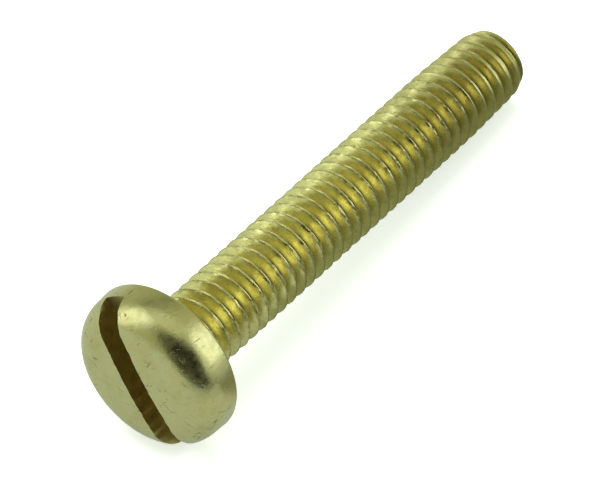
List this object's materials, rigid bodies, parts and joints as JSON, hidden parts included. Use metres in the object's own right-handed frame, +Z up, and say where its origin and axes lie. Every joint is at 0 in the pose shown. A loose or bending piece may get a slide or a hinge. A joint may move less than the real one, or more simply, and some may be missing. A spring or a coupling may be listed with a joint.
{
  "type": "machine screw",
  "caption": "Slotted pan head machine screw in brass, threaded along its whole shank, with a blunt bevelled tip.",
  "frame": {"origin": "on the screw's axis, in the plane of the bearing face under the head", "axes": "the screw's axis lies along Y, the head towards -Y and the tip towards +Y; +Z is up"},
  "size_m": [0.0078, 0.0274, 0.0078],
  "materials": {
    "brass": "bare brass, satin, with light handling marks"
  },
  "bodies": {
    "root": {"screw": "brass"}
  },
  "joints": []
}
